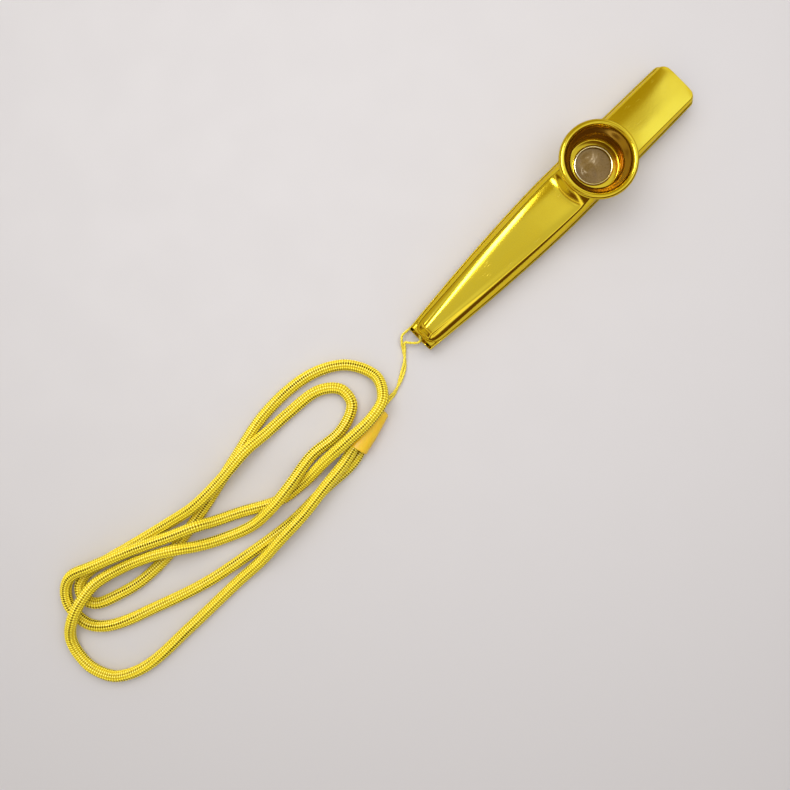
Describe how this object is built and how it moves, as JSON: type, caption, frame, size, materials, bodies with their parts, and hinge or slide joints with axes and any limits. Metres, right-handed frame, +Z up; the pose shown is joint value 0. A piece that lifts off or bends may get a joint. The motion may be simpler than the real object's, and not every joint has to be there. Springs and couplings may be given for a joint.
{
  "type": "kazoo",
  "caption": "Sheet-metal kazoo with a screw-in flared cup over a buzzing membrane, on a braided neck lanyard with a moulded sleeve.",
  "frame": {"origin": "on the surface the kazoo rests on, under the middle of the body's bounding box, without the lanyard", "axes": "+X along the body to the mouth end, +Z up along the cup's axis, +Y to the side with the string's hole"},
  "size_m": [0.277, 0.045, 0.0211],
  "materials": {
    "lower_shell": "gloss gold",
    "upper_shell": "gloss gold",
    "socket": "gloss gold",
    "membrane_ring": "matt",
    "membrane": "waxed, wrinkled",
    "cup": "gloss gold",
    "string": "twisted, satin",
    "sleeve": "satin",
    "cord": "braided, lustrous"
  },
  "bodies": {
    "kazoo_body": {"lower_shell": "lower_shell", "upper_shell": "upper_shell", "threaded_socket": "socket", "string_loop": "string", "sleeve": "sleeve", "neck_cord": "cord"},
    "membrane_cartridge": {"membrane_ring": "membrane_ring", "membrane": "membrane"},
    "cup": {"cup": "cup"}
  },
  "joints": [
    {"name": "membrane_lift", "type": "slide", "parent": "kazoo_body", "child": "membrane_cartridge", "axis": [0, 0, 1], "range_m": [0, 0.0042]},
    {"name": "cup_turn", "type": "hinge", "parent": "membrane_cartridge", "child": "cup", "pos_m": [0.019, 0, 0.015], "axis": [0, 0, 1], "range_deg": [0, 630]}
  ],
  "couplings": [
    {"joint": "membrane_lift", "follows": "cup_turn", "m_per_rad": 0.00038197}
  ]
}
